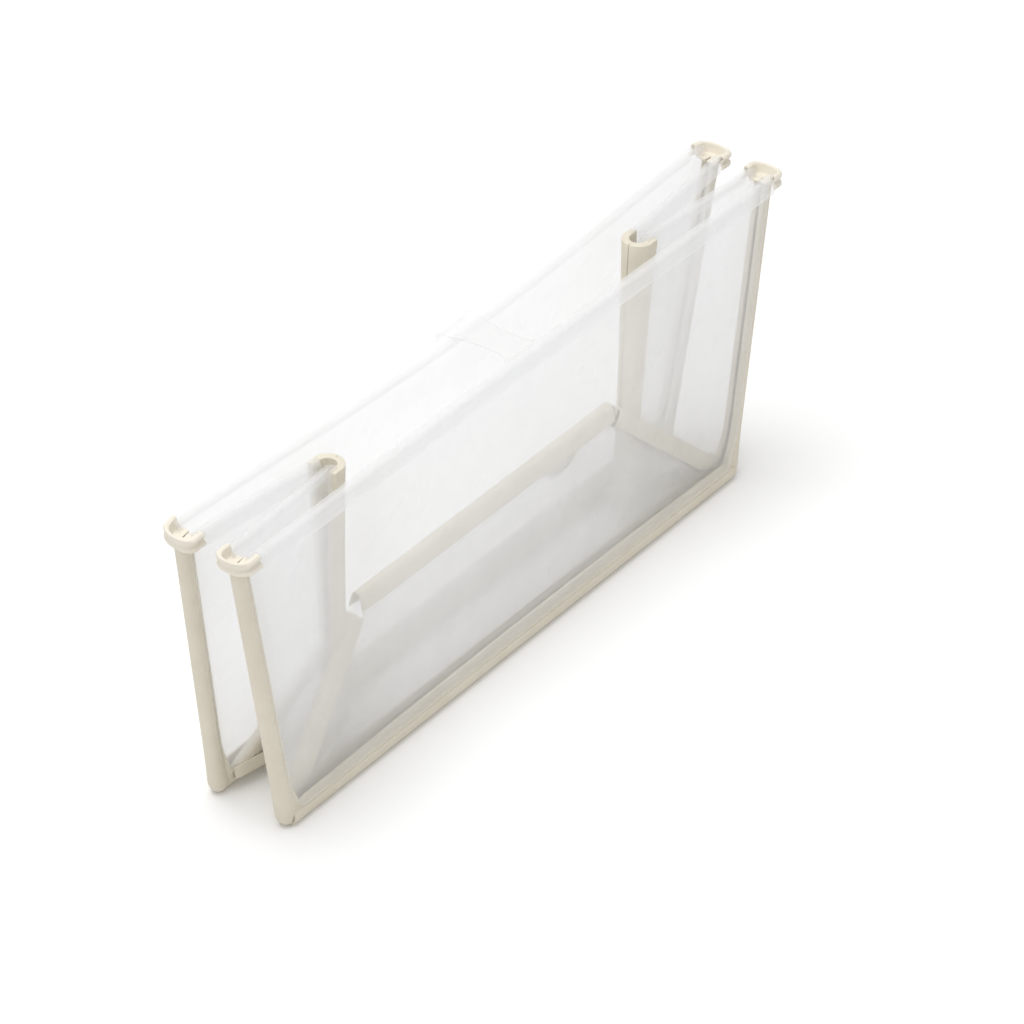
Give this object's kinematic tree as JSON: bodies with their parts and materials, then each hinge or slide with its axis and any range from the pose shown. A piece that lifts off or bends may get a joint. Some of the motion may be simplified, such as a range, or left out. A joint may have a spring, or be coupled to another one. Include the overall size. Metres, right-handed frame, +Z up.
{
  "type": "folding baby bathtub",
  "caption": "Folding baby bathtub with stiff frosted panels joined by soft hinge strips, stored folded flat, with a latch strap over the rims and a drain plug.",
  "frame": {"origin": "centre of the folded tub's footprint, on the ground", "axes": "+X along the tub's length, +Z up, front wall towards -Y"},
  "size_m": [0.6102, 0.075, 0.243],
  "materials": {
    "frosted_plastic": "frosted translucent polypropylene, satin",
    "strip_rubber": "soft matte thermoplastic rubber, fine grain",
    "cap_rubber": "soft matte thermoplastic rubber, fine grain",
    "plug_rubber": "soft matte rubber"
  },
  "bodies": {
    "rear_sill": {"rear_sill_strip": "strip_rubber"},
    "rear_floor": {"rear_floor": "frosted_plastic", "floor_centre_strip": "strip_rubber", "plug_seat": "plug_rubber", "rear_left_diagonal_strip": "strip_rubber", "rear_right_diagonal_strip": "strip_rubber"},
    "front_floor": {"front_floor": "frosted_plastic", "front_left_diagonal_strip": "strip_rubber", "front_right_diagonal_strip": "strip_rubber"},
    "front_sill": {"front_sill_strip": "strip_rubber"},
    "rear_wall": {"rear_wall": "frosted_plastic", "rear_left_corner_strip": "strip_rubber", "rear_right_corner_strip": "strip_rubber", "rear_left_rim_cap": "cap_rubber", "rear_right_rim_cap": "cap_rubber"},
    "front_wall": {"front_wall": "frosted_plastic", "front_left_corner_strip": "strip_rubber", "front_right_corner_strip": "strip_rubber", "front_left_rim_cap": "cap_rubber", "front_right_rim_cap": "cap_rubber"},
    "rear_left_end": {"rear_left_end_panel": "frosted_plastic", "rear_left_end_sill_strip": "strip_rubber"},
    "rear_right_end": {"rear_right_end_panel": "frosted_plastic", "rear_right_end_sill_strip": "strip_rubber"},
    "front_left_end": {"front_left_end_panel": "frosted_plastic", "front_left_end_sill_strip": "strip_rubber"},
    "front_right_end": {"front_right_end_panel": "frosted_plastic", "front_right_end_sill_strip": "strip_rubber"},
    "rear_left_end_centre": {"rear_left_end_centre_strip": "strip_rubber"},
    "rear_right_end_centre": {"rear_right_end_centre_strip": "strip_rubber"},
    "front_left_end_centre": {"front_left_end_centre_strip": "strip_rubber"},
    "front_right_end_centre": {"front_right_end_centre_strip": "strip_rubber"},
    "rear_left_gusset": {"rear_left_gusset": "frosted_plastic"},
    "rear_right_gusset": {"rear_right_gusset": "frosted_plastic"},
    "front_left_gusset": {"front_left_gusset": "frosted_plastic"},
    "front_right_gusset": {"front_right_gusset": "frosted_plastic"},
    "latch": {"latch_tongue": "frosted_plastic", "latch_hook": "frosted_plastic"},
    "plug": {"drain_plug": "plug_rubber", "plug_tab": "plug_rubber"}
  },
  "joints": [
    {"name": "unfold", "type": "hinge", "parent": "rear_sill", "child": "rear_floor", "pos_m": [0, 0.029, 0.007], "axis": [1, 0, 0], "range_deg": [0, 76.16], "deforming": ["rear_left_gusset", "rear_right_gusset", "front_left_gusset", "front_right_gusset", "rear_left_end_centre_strip", "rear_right_end_centre_strip", "front_left_end_centre_strip", "front_right_end_centre_strip", "latch_hook"]},
    {"name": "floor_centre_fold", "type": "hinge", "parent": "rear_floor", "child": "front_floor", "pos_m": [0, 0, 0.10799], "axis": [1, 0, 0], "range_deg": [-152.82, 0]},
    {"name": "rear_wall_lean", "type": "hinge", "parent": "rear_sill", "child": "rear_wall", "pos_m": [0, 0.029, 0.007], "axis": [1, 0, 0], "range_deg": [-8.73, 0]},
    {"name": "front_wall_fold", "type": "hinge", "parent": "front_floor", "child": "front_wall", "pos_m": [0, -0.029, 0.007], "axis": [1, 0, 0], "range_deg": [0, 85.29]},
    {"name": "front_sill_lean", "type": "hinge", "parent": "front_wall", "child": "front_sill", "pos_m": [0, -0.029, 0.007], "axis": [1, 0, 0], "range_deg": [-8.73, 0]},
    {"name": "rear_left_end_fold", "type": "hinge", "parent": "rear_wall", "child": "rear_left_end", "pos_m": [-0.255, 0.029, 0.007], "axis": [-0.172, -0.028, 0.9847], "range_deg": [-86.8, 0]},
    {"name": "rear_right_end_fold", "type": "hinge", "parent": "rear_wall", "child": "rear_right_end", "pos_m": [0.255, 0.029, 0.007], "axis": [0.172, -0.028, 0.9847], "range_deg": [0, 86.8]},
    {"name": "front_left_end_fold", "type": "hinge", "parent": "front_wall", "child": "front_left_end", "pos_m": [-0.255, -0.029, 0.007], "axis": [-0.172, 0.028, 0.9847], "range_deg": [0, 86.8]},
    {"name": "front_right_end_fold", "type": "hinge", "parent": "front_wall", "child": "front_right_end", "pos_m": [0.255, -0.029, 0.007], "axis": [0.172, 0.028, 0.9847], "range_deg": [-86.8, 0]},
    {"name": "rear_left_end_centre_fold", "type": "hinge", "parent": "rear_left_end", "child": "rear_left_end_centre", "pos_m": [-0.16112, 0.00327, 0.12502], "axis": [-0.048, -0.0009, 0.9988], "range_deg": [0, 85.54]},
    {"name": "rear_right_end_centre_fold", "type": "hinge", "parent": "rear_right_end", "child": "rear_right_end_centre", "pos_m": [0.16112, 0.00327, 0.12502], "axis": [0.048, -0.0009, 0.9988], "range_deg": [-85.54, 0]},
    {"name": "front_left_end_centre_fold", "type": "hinge", "parent": "front_left_end", "child": "front_left_end_centre", "pos_m": [-0.16112, -0.00327, 0.12502], "axis": [-0.048, 0.0009, 0.9988], "range_deg": [-85.54, 0]},
    {"name": "front_right_end_centre_fold", "type": "hinge", "parent": "front_right_end", "child": "front_right_end_centre", "pos_m": [0.16112, -0.00327, 0.12502], "axis": [0.048, 0.0009, 0.9988], "range_deg": [0, 85.54]},
    {"name": "rear_left_gusset_fold", "type": "hinge", "parent": "rear_floor", "child": "rear_left_gusset", "pos_m": [-0.143, 0, 0.10799], "axis": [-0.7295, 0.1636, -0.6641], "range_deg": [0, 170]},
    {"name": "rear_right_gusset_fold", "type": "hinge", "parent": "rear_floor", "child": "rear_right_gusset", "pos_m": [0.143, 0, 0.10799], "axis": [0.7295, 0.1636, -0.6641], "range_deg": [-170, 0]},
    {"name": "front_left_gusset_fold", "type": "hinge", "parent": "front_floor", "child": "front_left_gusset", "pos_m": [-0.143, 0, 0.10799], "axis": [-0.7295, -0.1636, -0.6641], "range_deg": [-170, 0]},
    {"name": "front_right_gusset_fold", "type": "hinge", "parent": "front_floor", "child": "front_right_gusset", "pos_m": [0.143, 0, 0.10799], "axis": [0.7295, -0.1636, -0.6641], "range_deg": [0, 170]},
    {"name": "latch_lift", "type": "hinge", "parent": "front_wall", "child": "latch", "pos_m": [0, -0.024, 0.242], "axis": [1, 0, 0], "range_deg": [0, 170]},
    {"name": "plug_pull", "type": "slide", "parent": "rear_floor", "child": "plug", "axis": [0, 0.971, 0.2392], "range_m": [0, 0.012]}
  ],
  "couplings": [
    {"joint": "floor_centre_fold", "follows": "unfold", "ratio": -2},
    {"joint": "rear_wall_lean", "follows": "unfold", "ratio": -0.11326},
    {"joint": "front_wall_fold", "follows": "unfold", "ratio": 1.1133},
    {"joint": "front_sill_lean", "follows": "unfold", "ratio": -0.11326},
    {"joint": "rear_left_end_fold", "follows": "unfold", "ratio": -1.1331},
    {"joint": "rear_right_end_fold", "follows": "unfold", "ratio": 1.1331},
    {"joint": "front_left_end_fold", "follows": "unfold", "ratio": 1.1331},
    {"joint": "front_right_end_fold", "follows": "unfold", "ratio": -1.1331},
    {"joint": "rear_left_end_centre_fold", "follows": "unfold", "ratio": 1.1166},
    {"joint": "rear_right_end_centre_fold", "follows": "unfold", "ratio": -1.1166},
    {"joint": "front_left_end_centre_fold", "follows": "unfold", "ratio": -1.1166},
    {"joint": "front_right_end_centre_fold", "follows": "unfold", "ratio": 1.1166},
    {"joint": "rear_left_gusset_fold", "follows": "unfold", "ratio": 2.2255},
    {"joint": "rear_right_gusset_fold", "follows": "unfold", "ratio": -2.2255},
    {"joint": "front_left_gusset_fold", "follows": "unfold", "ratio": -2.2255},
    {"joint": "front_right_gusset_fold", "follows": "unfold", "ratio": 2.2255}
  ]
}
